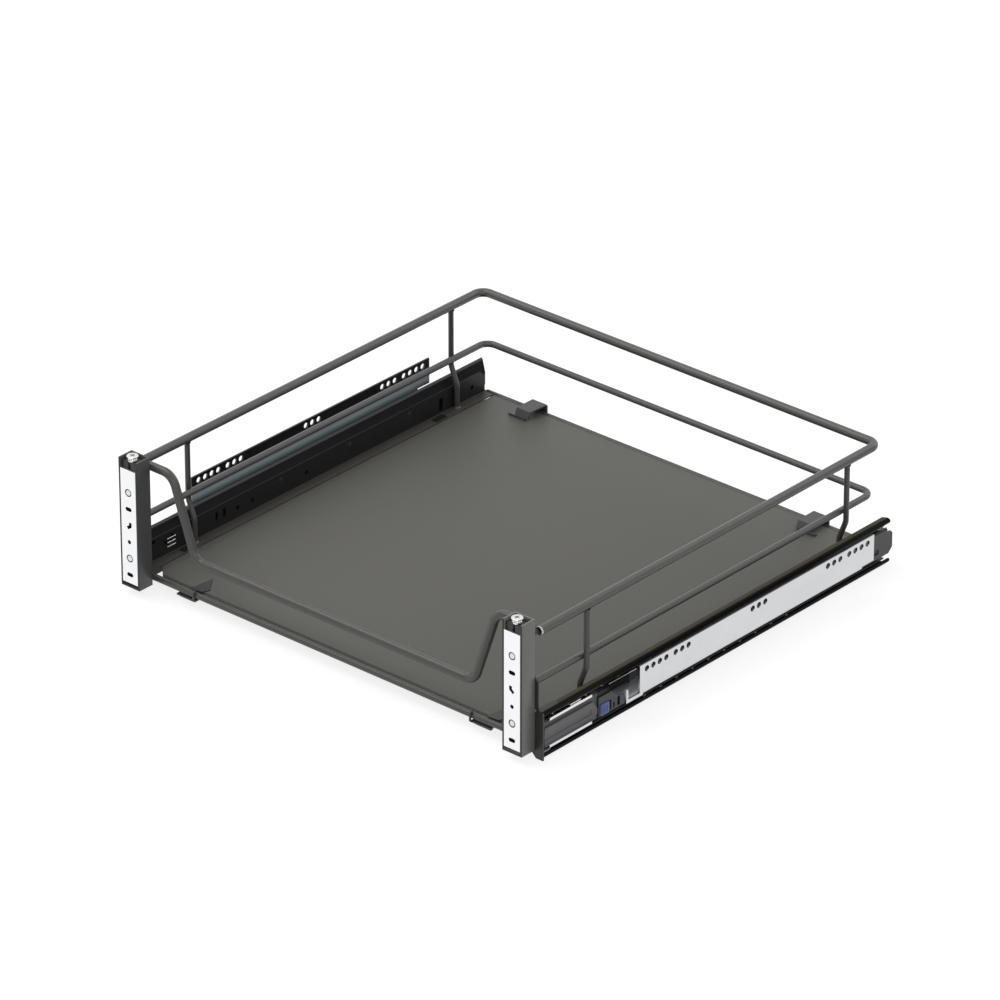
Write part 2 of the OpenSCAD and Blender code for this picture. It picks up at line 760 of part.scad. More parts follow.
// Stubs that plug the front ends of the top rail and are welded to the front brackets
module rail_plugs() {
  stub_d = rail_d - 4;
  color("silver") placed() both_sides() {
    y_cyl([rail_x - 0.5, bracket_d, rail_z], stub_d, rail_y - 1.5 - bracket_d + eps);
    y_cyl([rail_x, rail_y - 1.5, rail_z], rail_d, 1.5);
  }
}

// Front bracket: a channel open to the door, closed below, with a window in its web
module front_bracket(side) {
  inside = bracket_w - 2 * bracket_t;
  window = [6.5, cut, 17];
  slot = bolt_d + 2 * gap;
  color("dimgray") placed() on_side(side) difference() {
    translate([bracket_x - bracket_w, 0, bracket_z]) cube([bracket_w, bracket_d, bracket_h]);
    translate([bracket_mid - inside / 2, -eps, bracket_z + bracket_t])
      cube([inside, bracket_d - bracket_t + eps, bracket_h]);
    translate([bracket_mid - 1, 0, bracket_z + bracket_h - 20.5]) cube(window);
    for (i = bolt_rows) translate([bracket_mid, 0, first_hole + i * hole_pitch])
      rotate([0, 0, 90]) z_slot([0, 0, 0], slot, slot + 2 * adjust, cut);
  }
}

// Fixing plate: takes the screws of the door panel and moves up and down in the bracket
module fixing_plate(side) {
  plate_h = plate_top - plate_z;
  edge_t = 1.2;
  edge_d = 9;
  edge_h = plate_h - 18;
  tab = [10, 9, 2];
  slot_w = 7.2;
  hook_w = 3;
  color("white") placed() on_side(side) translate([bracket_mid, 0, 0]) difference() {
    union() {
      translate([-plate_w / 2, 0, plate_z]) cube([plate_w, plate_back, plate_h]);
      for (s = [-1, 1]) translate([s > 0 ? plate_w / 2 - edge_t : -plate_w / 2, 0, plate_z])
        cube([edge_t, edge_d, edge_h]);
      translate([-tab[0] / 2, plate_back - eps, tab_z]) cube(tab);
    }
    for (i = [0, 4]) translate([0, 0, first_hole + i * hole_pitch]) {
      for (x = [-1, 1]) y_cyl([x * (slot_w - plate_hole_d) / 2, -eps, 0], plate_hole_d, cut);
      translate([(plate_hole_d - slot_w) / 2, -eps, -plate_hole_d / 2])
        cube([slot_w - plate_hole_d, cut, plate_hole_d]);
    }
    y_cyl([0, -eps, first_hole + 2 * hole_pitch], plate_hole_d, cut);
    translate([0, cut / 2, first_hole + 3 * hole_pitch]) rotate([90, 0, 0]) linear_extrude(cut)
      strip([[-1.6, 3.4], [-1.6, 0], [1.8, -2.6]], hook_w);
    for (i = bolt_rows) {
      y_cyl([0, -eps, first_hole + i * hole_pitch], bolt_d, cut);
      y_cyl([0, -eps, first_hole + i * hole_pitch], bush_d, bush_t + eps);
    }
    translate([0, screw_y, tab_z - eps]) cylinder(d = screw_d + 2 * gap, h = cut);
  }
}

// Bolts that guide the fixing plate in the slots of the bracket: flush head, shank and nut
module guide_bolts(side) {
  nut_d = 9;
  nut_t = 2.4;
  color("silver") placed() on_side(side) for (i = bolt_rows) {
    z = first_hole + i * hole_pitch;
    y_cyl([bracket_mid, 0, z], bolt_head_d, bush_t);
    y_cyl([bracket_mid, bush_t - eps, z], bolt_d, bracket_d + gap - bush_t + 2 * eps);
    y_cyl([bracket_mid, bracket_d + gap, z], nut_d, nut_t);
  }
}

// Black bushes round the heads of the guide bolts
module guide_bushes(side) {
  color("black") placed() on_side(side) for (i = bolt_rows) difference() {
    y_cyl([bracket_mid, 0, first_hole + i * hole_pitch], bush_d, bush_t);
    y_cyl([bracket_mid, -eps, first_hole + i * hole_pitch], bolt_head_d, bush_t + 2 * eps);
  }
}

// Plastic block that holds the adjusting screw in the bracket
module screw_block(side) {
  block_y = plate_back + gap;
  block_w = bracket_w - 2 * bracket_t;
  slot_w = 2.6;
  color("black") placed() on_side(side) translate([bracket_mid, 0, block_z]) difference() {
    translate([-block_w / 2, block_y, 0]) cube([block_w, bracket_d - bracket_t - block_y, block_h]);
    translate([0, screw_y, -eps]) cylinder(d = screw_d + 2 * gap, h = cut);
    translate([-slot_w / 2, 0, -eps]) cube([slot_w, screw_y, cut]);
  }
}

// Adjusting screw: raised head above the bracket and a collar on each side of the block
module adjusting_screw(side) {
  collar_d = 8;
  collar_t = 1.2;
  cone_h = 2;
  disc_h = 1.4;
  low = tab_z - 3.6;
  color("white") placed() on_side(side) translate([bracket_mid, screw_y, 0]) {
    translate([0, 0, low]) cylinder(d = screw_d, h = head_z - low + eps);
    translate([0, 0, block_z - gap - collar_t]) cylinder(d = collar_d, h = collar_t);
    translate([0, 0, block_z + block_h + gap]) cylinder(d = collar_d, h = collar_t);
    translate([0, 0, head_z]) cylinder(d1 = screw_d, d2 = head_d, h = cone_h);
    translate([0, 0, head_z + cone_h - eps]) cylinder(d = head_d, h = disc_h);
  }
}

cabinet_bracket(-1);  // cabinet_bracket_left
cabinet_bracket(1);  // cabinet_bracket_right
cabinet_profile(-1);  // cabinet_profile_left
cabinet_profile(1);  // cabinet_profile_right
bracket_rivets();
profile_cover(-1);  // profile_cover_left
profile_cover(1);  // profile_cover_right
catch_housing(-1);  // catch_housing_left
catch_housing(1);  // catch_housing_right
catch_pins();
catch_lever(-1);  // catch_left
catch_lever(1);  // catch_right
middle_profile(-1);  // middle_profile_left
middle_profile(1);  // middle_profile_right
inner_cage(-1);  // inner_cage_left
inner_cage(1);  // inner_cage_right
inner_balls(-1);  // inner_balls_left
inner_balls(1);  // inner_balls_right
outer_cage(-1);  // outer_cage_left
outer_cage(1);  // outer_cage_right
outer_balls(-1);  // outer_balls_left
outer_balls(1);  // outer_balls_right
drawer_profile(-1);  // drawer_profile_left
drawer_profile(1);  // drawer_profile_right
end_stops();
side_rail(-1);  // side_rail_left
side_rail(1);  // side_rail_right
end_brackets();
rail_rivets();
floor_board();
under_bars();
front_bar();
back_bar();
front_clips();
back_clips();
top_rail();
middle_rail();
posts();
front_wire();
rail_plugs();
front_bracket(-1);  // front_bracket_left
front_bracket(1);  // front_bracket_right
fixing_plate(-1);  // fixing_plate_left
fixing_plate(1);  // fixing_plate_right
guide_bolts(-1);  // guide_bolts_left
guide_bolts(1);  // guide_bolts_right
guide_bushes(-1);  // guide_bushes_left
guide_bushes(1);  // guide_bushes_right
screw_block(-1);  // screw_block_left
screw_block(1);  // screw_block_right
adjusting_screw(-1);  // adjusting_screw_left
adjusting_screw(1);  // adjusting_screw_right
clip_pads();
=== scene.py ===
import math

import bpy
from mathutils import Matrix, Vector


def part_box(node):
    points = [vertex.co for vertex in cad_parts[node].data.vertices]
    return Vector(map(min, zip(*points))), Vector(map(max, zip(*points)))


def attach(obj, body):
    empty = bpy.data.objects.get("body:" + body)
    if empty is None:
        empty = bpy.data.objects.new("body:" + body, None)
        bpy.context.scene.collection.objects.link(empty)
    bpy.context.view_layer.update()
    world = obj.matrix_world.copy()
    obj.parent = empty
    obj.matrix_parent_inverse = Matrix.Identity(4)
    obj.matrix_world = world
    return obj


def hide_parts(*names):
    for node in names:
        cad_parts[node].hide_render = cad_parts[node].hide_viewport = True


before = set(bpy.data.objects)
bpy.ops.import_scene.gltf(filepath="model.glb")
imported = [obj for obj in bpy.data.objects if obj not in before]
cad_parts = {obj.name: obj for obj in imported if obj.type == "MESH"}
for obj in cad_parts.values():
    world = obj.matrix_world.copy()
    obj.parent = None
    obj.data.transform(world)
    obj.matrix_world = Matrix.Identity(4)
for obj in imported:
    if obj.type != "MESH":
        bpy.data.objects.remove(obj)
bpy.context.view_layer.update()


# Camera: a long lens, well above and to the right of the front of the drawer, as in the
# photograph.
def aim(thing, stand, target):
    """Stands the camera or a lamp at one place and turns it to another."""
    thing.location = stand
    thing.rotation_euler = (Vector(target) - Vector(stand)).to_track_quat("-Z", "Y").to_euler()
    bpy.context.scene.collection.objects.link(thing)


lens = bpy.data.cameras.new("camera")
lens.sensor_width = 36.0
lens.lens = 266.7
lens.clip_end = 60.0
camera = bpy.data.objects.new("camera", lens)
aim(camera, (3.7491, -4.2755, 3.0667), (0.03091, -0.042, 0.10095))
bpy.context.scene.camera = camera
bpy.context.scene.view_settings.view_transform = "Standard"

# Light: a broad round lamp above the drawer, a weaker one at its right front and one behind.
# Each row is a name, a place, what it is aimed at, a width in metres and a power in watts.
lamps = [
    ("lamp_above", (-1.2, -0.6, 2.6), (0.0, 0.0, 0.0), 2.4, 30.0),
    ("lamp_right_front", (2.2, -2.2, 1.5), (0.0, 0.0, 0.05), 1.6, 12.0),
    ("lamp_behind", (0.6, 2.4, 1.6), (0.0, 0.0, 0.1), 1.6, 9.0),
]
for lamp_name, stand, target, width, power in lamps:
    disk = bpy.data.lights.new(lamp_name, "AREA")
    disk.shape = "DISK"
    disk.size = width
    disk.energy = power
    aim(bpy.data.objects.new(lamp_name, disk), stand, target)


# Room: a pale even surround. The camera and the gloss of the metal see it white, and what
# lights the drawer is a little weaker.
class Value:
    """A socket of a material, so that shader maths reads as plain arithmetic."""

    def __init__(self, finish, socket):
        self.finish = finish
        self.socket = socket

    def maths(self, operation, *terms):
        return self.finish.node("ShaderNodeMath", {"operation": operation}, dict(enumerate(terms)))

    def __add__(self, other):
        return self.maths("ADD", self, other)

    def __radd__(self, other):
        return self.maths("ADD", other, self)

    def __sub__(self, other):
        return self.maths("SUBTRACT", self, other)

    def __rsub__(self, other):
        return self.maths("SUBTRACT", other, self)

    def __mul__(self, other):
        return self.maths("MULTIPLY", self, other)

    def __rmul__(self, other):
        return self.maths("MULTIPLY", other, self)

    def __truediv__(self, other):
        return self.maths("DIVIDE", self, other)

    def __rtruediv__(self, other):
        return self.maths("DIVIDE", other, self)

    def at_most(self, other):
        return self.maths("MINIMUM", self, other)

    def at_least(self, other):
        return self.maths("MAXIMUM", self, other)


class Finish:
    """A material or the room: node() adds any node and gives one of its outputs."""

    def __init__(self, owner):
        owner.use_nodes = True
        self.owner = owner
        self.tree = owner.node_tree

    def node(self, kind, settings, inputs, out=0):
        made = self.tree.nodes.new(kind)
        for name, setting in settings.items():
            setattr(made, name, setting)
        for name, value in inputs.items():
            self.feed(made.inputs[name], value)
        return Value(self, made.outputs[out])

    def feed(self, socket, value):
        if isinstance(value, Value):
            self.tree.links.new(value.socket, socket)
        else:
            socket.default_value = value

    def into(self, node_name, socket_name, value):
        self.feed(self.tree.nodes[node_name].inputs[socket_name], value)

    def source(self, node_name, socket_name):
        """What feeds a socket now."""
        return Value(self, self.tree.nodes[node_name].inputs[socket_name].links[0].from_socket)

    def surface(self, socket_name, value):
        self.into("Principled BSDF", socket_name, value)

    def relief(self, height, strength, depth):
        """Raises the surface by a pattern, by so many metres at most."""
        self.surface("Normal", self.node("ShaderNodeBump", {}, {
            "Height": height, "Strength": strength, "Distance": depth}))


def seen_by(finish, *rays):
    """1 for the kinds of ray that are named and 0 for the others."""
    seen, *others = [finish.node("ShaderNodeLightPath", {}, {}, out="Is " + ray + " Ray")
                     for ray in rays]
    for other in others:
        seen = seen.at_least(other)
    return seen


room_light = 0.40
room_white = (1.0, 1.0, 1.0, 1.0)
world = bpy.data.worlds.new("room")
bpy.context.scene.world = world
room = Finish(world)
room.into("Background", "Color", room_white)
room.into("Background", "Strength",
          room_light + seen_by(room, "Camera", "Glossy", "Transmission") * (1.0 - room_light))


# Floor: a wide pale table that the drawer stands on. It keeps the soft shadow under the
# slides and shows white elsewhere.
def tint(finish, share, first, second):
    """Mixes two colours by a share that varies over the surface."""
    colour_a, colour_b, colour_out = 6, 7, 2
    ends = [shade if isinstance(shade, Value) else (*shade, 1.0) for shade in (first, second)]
    return finish.node("ShaderNodeMix", {"data_type": "RGBA"}, {
        "Factor": share, colour_a: ends[0], colour_b: ends[1]}, colour_out)


floor_half = 14.0
floor_drop = 0.0004
table_seen = (0.80, 0.80, 0.80)
table_bounce = (0.34, 0.34, 0.34)
glow_strength = 1.4
glow_share = 0.58
bpy.ops.object.select_all(action="DESELECT")
bpy.ops.mesh.primitive_plane_add(size=2 * floor_half, location=(0.0, 0.0, -floor_drop))
floor = bpy.context.object
floor.name = "floor"
table = Finish(bpy.data.materials.new("floor_white"))
seen = seen_by(table, "Camera", "Glossy")
table_grain = table.node("ShaderNodeTexNoise", {}, {"Scale": 60.0, "Detail": 2.0})
table.surface("Base Color", tint(table, seen, table_bounce, table_seen))
table.surface("Roughness", 0.7 + table_grain * 0.05)
glow = table.node("ShaderNodeEmission", {}, {"Color": room_white, "Strength": glow_strength})
mix_share, mix_first, mix_second = 0, 1, 2
table.into("Material Output", "Surface", table.node("ShaderNodeMixShader", {}, {
    mix_share: seen * glow_share, mix_first: table.source("Material Output", "Surface"),
    mix_second: glow}))
floor.data.materials.append(table.owner)

# Cabinet brackets: Z-shaped strips of bright zinc-plated sheet, pressed in one stroke. Their
# flanges are screwed to the cabinet sides and their feet are riveted to the slides.
sides = ("left", "right")
even = (1.0, 1.0, 1.0)
rolled = (1.0, 0.06, 1.0)


def place(finish, stretch=even):
    """The place on the piece in metres, drawn out along the axes."""
    spot = finish.node("ShaderNodeTexCoord", {}, {}, out="Object")
    return finish.node("ShaderNodeMapping", {"vector_type": "POINT"},
                       {"Vector": spot, "Scale": stretch})


def grain(finish, size, detail, stretch=even, roughness=0.55):
    """Soft random pattern whose features are about size metres, drawn out along the axes."""
    return finish.node("ShaderNodeTexNoise", {}, {
        "Vector": place(finish, stretch), "Scale": 1.0 / size, "Detail": detail,
        "Roughness": roughness})


def sheet_metal(name, dark, light, rough, spread, along=rolled, metal=1.0):
    """Rolled sheet: fine lines along the rolling direction and soft clouds in its gloss, which
    lies within spread of rough."""
    finish = Finish(bpy.data.materials.new(name))
    lines = grain(finish, size=0.0006, detail=4.0, stretch=along, roughness=0.6)
    clouds = grain(finish, size=0.018, detail=3.0, stretch=(1.0, 0.5, 1.0))
    finish.surface("Base Color", tint(finish, lines * 0.5 + clouds * 0.5, dark, light))
    finish.surface("Metallic", metal)
    finish.surface("Roughness", rough - spread + (lines + clouds) * spread)
    finish.relief(lines, strength=0.35, depth=0.00002)
    return finish


def part_of(finish, axis):
    """One coordinate of the place on the piece, in millimetres."""
    return finish.node("ShaderNodeSeparateXYZ", {}, {"Vector": place(finish)}, axis) * 1000.0


def over(value, edge, soft=0.2):
    """0 below the edge and 1 above it, with a short ramp that starts at the edge."""
    return ((value - edge) / soft).at_least(0.0).at_most(1.0)


def under(value, edge, soft=0.2):
    """1 below the edge and 0 above it."""
    return 1.0 - over(value, edge, soft)


def between(value, low, high, soft=0.2):
    """1 between two edges and 0 elsewhere."""
    return over(value, low, soft) * under(value, high, soft)


def lay_over(finish, share, shade):
    """Lays another colour over the part of a surface where share is 1."""
    own = finish.source("Principled BSDF", "Base Color")
    finish.surface("Base Color", tint(finish, share, own, shade))


def dress(finish, *names):
    """Gives CAD nodes their material."""
    for name in names:
        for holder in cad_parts[name].material_slots:
            holder.material = finish.owner


def pair(name):
    return [name + "_" + side for side in sides]


# Inner faces of the flanges: painted black shade with one painted band of blue-grey sheen.
flange_inside, flange_outside = 256.8, 258.7
band_low, band_high = 29.0, 42.0
sheen_low, sheen_high = 31.0, 36.5
flange_painted_shade = (0.010, 0.010, 0.011)
painted_band_grey = (0.16, 0.19, 0.20)
painted_sheen_pale = (0.52, 0.58, 0.60)
zinc_flange = sheet_metal("zinc_flange", (0.56, 0.57, 0.585), (0.70, 0.71, 0.72), 0.30, 0.07)
across = part_of(zinc_flange, "X")
height = part_of(zinc_flange, "Z")
inner_face = between(across.at_least(0.0 - across), flange_inside, flange_outside)
sheen = between(height, sheen_low, sheen_high, soft=4.0)
band = between(height, band_low, band_high, soft=1.5)
# Paints the shade and the sheen onto the inner faces of the flanges.
lay_over(zinc_flange, inner_face, tint(
    zinc_flange, band, flange_painted_shade, tint(zinc_flange, sheen, painted_band_grey, painted_sheen_pale)))
zinc_flange.surface("Metallic", 1.0 - inner_face)
dress(zinc_flange, *pair("cabinet_bracket"))

# Slide profiles: steel strip, rolled cold to nested C shapes and plated with black zinc. The tops
# of the drawer profiles carry a painted highlight, paler on the right one, and the cabinet
# profiles carry painted shade behind the self-closing units.
drawn = (1.0, 0.02, 1.0)
unit_front, unit_back = -154.0, -112.0
unit_painted_shade = (0.004, 0.004, 0.005)
ridge_foot = 44.6
painted_ridge_left, painted_ridge_right = (0.060, 0.063, 0.067), (0.10, 0.09, 0.066)
middle_zinc = sheet_metal("slide_steel", (0.030, 0.029, 0.027), (0.075, 0.072, 0.066),
                          0.36, 0.08, drawn, metal=0.75)
dress(middle_zinc, *pair("middle_profile"))
inner_zinc = sheet_metal("slide_steel_inner", (0.052, 0.052, 0.053), (0.078, 0.078, 0.078),
                         0.38, 0.08, drawn, metal=0.6)
# Painted shade on the cabinet profiles behind the self-closing units.
lay_over(inner_zinc, between(part_of(inner_zinc, "Y"), unit_front, unit_back), unit_painted_shade)
dress(inner_zinc, *pair("cabinet_profile"))
outer_zinc = sheet_metal("slide_steel_outer", (0.006, 0.006, 0.006), (0.018, 0.017, 0.016),
                         0.46, 0.08, drawn, metal=0.0)
# Painted highlight along the tops of the drawer profiles, paler on the right one.
painted_ridge_light = tint(outer_zinc, over(part_of(outer_zinc, "X"), 0.0), painted_ridge_left, painted_ridge_right)
lay_over(outer_zinc, over(part_of(outer_zinc, "Z"), ridge_foot), painted_ridge_light)
outer_zinc.surface("Specular IOR Level", 0.04)
dress(outer_zinc, *pair("drawer_profile"))

# Rivets and pins: zinc-plated steel with heads upset cold. The rivets hold the cabinet
# brackets to the slides, and the catches turn on the pins.
rivet_steel = sheet_metal("rivet_steel", (0.62, 0.63, 0.64), (0.80, 0.81, 0.82), 0.28, 0.06, even)
dress(rivet_steel, "bracket_rivets", "catch_pins")


# Slide covers: ribbed strips of grey moulded plastic, clipped to the front ends of the cabinet
# profiles. Their lower half carries a painted cool shade.
def moulded(name, dark, light, rough):
    """Moulded plastic: a fine spark-eroded grain and faint flow clouds."""
    finish = Finish(bpy.data.materials.new(name))
    fine = grain(finish, size=0.0004, detail=2.0)
    clouds = grain(finish, size=0.012, detail=3.0)
    finish.surface("Base Color", tint(finish, clouds, dark, light))
    finish.surface("Roughness", rough - 0.06 + fine * 0.12)
    finish.relief(fine, strength=0.4, depth=0.00002)
    return finish


cool_shade_up_to = 16.0
painted_cool_shade = (0.115, 0.115, 0.130)
cover_grey = moulded("cover_plastic", (0.145, 0.145, 0.142), (0.195, 0.195, 0.19), 0.5)
# Painted cool shade over the lower half of each cover.
lay_over(cover_grey, under(part_of(cover_grey, "Z"), cool_shade_up_to, soft=9.0), painted_cool_shade)
dress(cover_grey, *pair("profile_cover"))

# Self-closing units: dark moulded housings, clipped into the cabinet profiles, each with a
# blue moulded catch that turns on a pin and has three ribs on its face.
mm = 0.001
half_depth = 242.0
weld_gap = 0.002


def open_mesh():
    """Opens the active piece for editing, all of it selected."""
    bpy.ops.object.mode_set(mode="EDIT")
    bpy.ops.mesh.select_all(action="SELECT")


def close_mesh():
    bpy.ops.object.mode_set(mode="OBJECT")


def begin(add, **sizes):
    """Adds a primitive at the origin, with nothing else selected, and opens it for editing."""
    bpy.ops.object.select_all(action="DESELECT")
    add(location=(0.0, 0.0, 0.0), **sizes)
    open_mesh()
    return bpy.context.object


def move_to(x, y, z):
    """Moves what is selected from the origin to a place in millimetres, where y = 0 is the door
    side of the drawer, half_depth in front of the origin."""
    bpy.ops.transform.translate(value=(x * mm, (y - half_depth) * mm, z * mm))


def block(low, high, radius, segments=3):
    """A cube drawn to its two corners, in millimetres, with all its edges rounded."""
    piece = begin(bpy.ops.mesh.primitive_cube_add, size=1.0)
    bpy.ops.transform.resize(value=[(b - a) * mm for a, b in zip(low, high)])
    if radius:
        bpy.ops.mesh.bevel(offset=radius * mm, segments=segments, affect="EDGES")
    bpy.ops.mesh.select_all(action="SELECT")
    move_to(*[(a + b) / 2.0 for a, b in zip(low, high)])
    close_mesh()
    return piece


def take(*pieces):
    """Selects these pieces alone, with the first one active."""
    bpy.ops.object.select_all(action="DESELECT")
    for piece in pieces:
        piece.select_set(True)
    bpy.context.view_layer.objects.active = pieces[0]


def join(*pieces):
    """Makes one piece of several."""
    take(*pieces)
    bpy.ops.object.join()
    return pieces[0]


def open_copy(piece):
    """A copy of a piece with its own mesh, open for editing."""
    take(piece)
    bpy.ops.object.duplicate()
    open_mesh()
    return bpy.context.object


def repeat(piece, *moves):
    """The piece and its copies, one moved back and up by each of the moves (y, z)."""
    pieces = [piece]
    for y, z in moves:
        pieces.append(open_copy(piece))
        bpy.ops.transform.translate(value=(0.0, y * mm, z * mm))
        close_mesh()
    return pieces


def both_sides(piece):
    """The left and the right one of a pair: the left one is a mirrored copy of the right one."""
    mirrored = open_copy(piece)
    bpy.ops.transform.mirror(orient_type="GLOBAL", constraint_axis=(True, False, False),
                             center_override=(0.0, 0.0, 0.0))
    close_mesh()
    return mirrored, piece


def fit(name, piece, finish, body, slot_name, *nodes):
    """Finishes a piece: its name, its smooth faces, its material, the body that it rides on and
    the CAD nodes that it stands for."""
    piece.name = name
    take(piece)
    open_mesh()
    bpy.ops.mesh.remove_doubles(threshold=weld_gap * mm)
    bpy.ops.mesh.normals_make_consistent(inside=False)
    close_mesh()
    bpy.ops.object.shade_smooth_by_angle(angle=math.radians(35.0))
    piece.data.materials.clear()
    piece.data.materials.append(finish.owner)
    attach(piece, body)
    if nodes:
        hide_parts(*nodes)


dress(moulded("housing_plastic", (0.036, 0.037, 0.044), (0.058, 0.060, 0.070), 0.42),
      *pair("catch_housing"))
catch_front, catch_back, catch_low, catch_high = 90.5, 101.5, 11.0, 22.0
catch_thick = 1.9
rib_root, rib_crest = 1.0, 2.4
rib_front, rib_back, rib_low, rib_high = 92.5, 93.5, 13.0, 19.0
rib_pitch = 3.0
catch_blue = moulded("catch_plastic", (0.105, 0.145, 0.43), (0.145, 0.19, 0.51), 0.34)
near = min(abs(corner.x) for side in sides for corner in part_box("catch_" + side)) / mm
lever = block((near, catch_front, catch_low), (near + catch_thick, catch_back, catch_high),
              radius=0.7)
rib = block((near + rib_root, rib_front, rib_low), (near + rib_crest, rib_back, rib_high),
            radius=0.3)
lever = join(lever, *repeat(rib, (rib_pitch, 0.0), (2 * rib_pitch, 0.0)))
for side, catch in zip(sides, both_sides(lever)):
    fit("catch_body_" + side, catch, catch_blue, "catch_" + side, "catch_plastic",
        "catch_" + side)

# Ball cages: strip punched with round pockets and folded to a U, bright on the inner cages and
# greyer on the outer ones, with polished steel balls painted dark with shade.
dress(sheet_metal("cage_steel", (0.70, 0.70, 0.70), (0.84, 0.84, 0.84), 0.26, 0.06),
      *pair("inner_cage"))
dress(sheet_metal("cage_steel_outer", (0.30, 0.30, 0.295), (0.42, 0.42, 0.41), 0.30, 0.06),
      *pair("outer_cage"))
# The balls are painted dark, as shade inside the slides.
dress(sheet_metal("ball_steel", (0.16, 0.155, 0.14), (0.24, 0.235, 0.22), 0.22, 0.04, even),
      *pair("inner_balls"), *pair("outer_balls"))

# Mouth lips: narrow folded edges of the inner cages, bright in the mouth of each slide. The
# long one is above the self-closing unit and the short one above the cover.
lip_inside, lip_outside, lip_half = 236.6, 237.4, 0.45
lip_runs = ((104.0, 139.0, 36.2), (54.0, 67.5, 37.4))
cage_zinc = sheet_metal("cage_zinc", (0.70, 0.70, 0.70), (0.84, 0.84, 0.84), 0.28, 0.06)
lips = [block((lip_inside, front, z - lip_half), (lip_outside, back, z + lip_half), radius=0.2)
        for front, back, z in lip_runs]
for side, folded in zip(sides, both_sides(join(*lips))):
    fit("mouth_lips_" + side, folded, cage_zinc, "inner_cage_" + side, "cage_steel")

# End stops: grey moulded buffers, pushed into the raceways at the front ends of the drawer
# profiles, where they stop the cages.
dress(moulded("stop_plastic", (0.40, 0.40, 0.39), (0.48, 0.48, 0.47), 0.5), "end_stops")


# Side rails: angles of sheet with a graphite powder coat, riveted to the drawer profiles. The
# webs are painted near black as shade and the shelves that carry the posts paler as lit.
def powder_coat(name, dark, light, rough, peel=0.0011, depth=0.00003):
    """Baked powder: a faint orange peel with a fine metallic speckle."""
    finish = Finish(bpy.data.materials.new(name))
    waves = grain(finish, size=peel, detail=2.0)
    speckle = grain(finish, size=0.00035, detail=1.0)
    finish.surface("Base Color", tint(finish, speckle, dark, light))
    finish.surface("Roughness", rough - 0.05 + waves * 0.1)
    finish.relief(waves, strength=0.5, depth=depth)
    return finish


shelf_high = 17.9
shelf_painted_light = (0.085, 0.083, 0.077)
web_dark, web_light = (0.010, 0.010, 0.0105), (0.018, 0.018, 0.0185)
shelf_rail = powder_coat("graphite_rail_shelf", web_dark, web_light, 0.42)
# Painted light on the shelves, paler than the painted shade of the webs.
lay_over(shelf_rail, under(part_of(shelf_rail, "Z"), shelf_high, soft=0.3), shelf_painted_light)
shelf_rail.surface("Specular IOR Level", 0.25)
dress(shelf_rail, *pair("side_rail"))

# Clips and end brackets: short strips of graphite sheet. The clips hook round the front bar
# and over the back bar and hold the board, and the end brackets, darker in the shade of the
# slides, close the slides in front.
dress(powder_coat("graphite_sheet", (0.056, 0.056, 0.058), (0.082, 0.082, 0.083), 0.42),
      "front_clips", "back_clips")
dress(powder_coat("graphite_end", (0.020, 0.0195, 0.0185), (0.034, 0.033, 0.031), 0.42),
      "end_brackets")

# Spring tongues: three bright fingers of the front stop, snapped into each side rail one above
# the other.
tongue_inside, tongue_outside = 224.5, 225.3
tongue_front, tongue_back = 52.2, 62.8
tongue_low, tongue_high, tongue_pitch = 23.7, 24.7, 3.9
tongue = block((tongue_inside, tongue_front, tongue_low),
               (tongue_outside, tongue_back, tongue_high), radius=0.35)
tongues = join(*repeat(tongue, (0.0, tongue_pitch), (0.0, 2 * tongue_pitch)))
for side, fingers in zip(sides, both_sides(tongues)):
    fit("tongues_" + side, fingers, cage_zinc, "drawer", "cage_steel")


# Rail rivets: low domed heads on the inner face of each side rail, coated with the rail. They
# hold the rail to its drawer profile.
def spun(outline, centre, along, steps):
    """Spins an outline (distance from the axis, distance along it, in mm) round an axis through
    centre. along is the axis it climbs, x, y or z, with a minus sign for the other way."""
    axis = "xyz".index(along[-1])
    aside = (axis + 1) % 3
    way = -1.0 if along.startswith("-") else 1.0

    def step(outwards, climb):
        move = [0.0, 0.0, 0.0]
        move[aside] = outwards * mm
        move[axis] = climb * way * mm
        return move

    piece = begin(bpy.ops.mesh.primitive_plane_add, size=mm)
    bpy.ops.mesh.merge(type="CENTER")
    bpy.ops.transform.translate(value=step(*outline[0]))
    for before, after in zip(outline, outline[1:]):
        bpy.ops.mesh.extrude_region_move(TRANSFORM_OT_translate={
            "value": step(after[0] - before[0], after[1] - before[1])})
    bpy.ops.mesh.select_all(action="SELECT")
    bpy.ops.mesh.spin(steps=steps, angle=2.0 * math.pi, center=(0.0, 0.0, 0.0),
                      axis=[float(i == axis) for i in range(3)])
    bpy.ops.mesh.select_all(action="SELECT")
    bpy.ops.mesh.remove_doubles(threshold=weld_gap * mm)
    move_to(*centre)
    close_mesh()
    return piece


rivet_out, rivet_height = 225.0, 32.5
rivet_front, rivet_rows = 88.0, (110.0, 200.0, 280.0)
rivet_outline = [(0.0, 0.30), (1.6, 0.28), (2.3, 0.18), (2.6, 0.0), (0.0, 0.0)]
rail_black = powder_coat("graphite_rail", web_dark, web_light, 0.42)
rivet = spun(rivet_outline, (rivet_out, rivet_front, rivet_height), "-x", steps=24)
rivets = join(*repeat(rivet, *[(row, 0.0) for row in rivet_rows]))
fit("rail_rivet_heads", join(*both_sides(rivets)), rail_black, "drawer", "graphite_sheet",
    "rail_rivets")

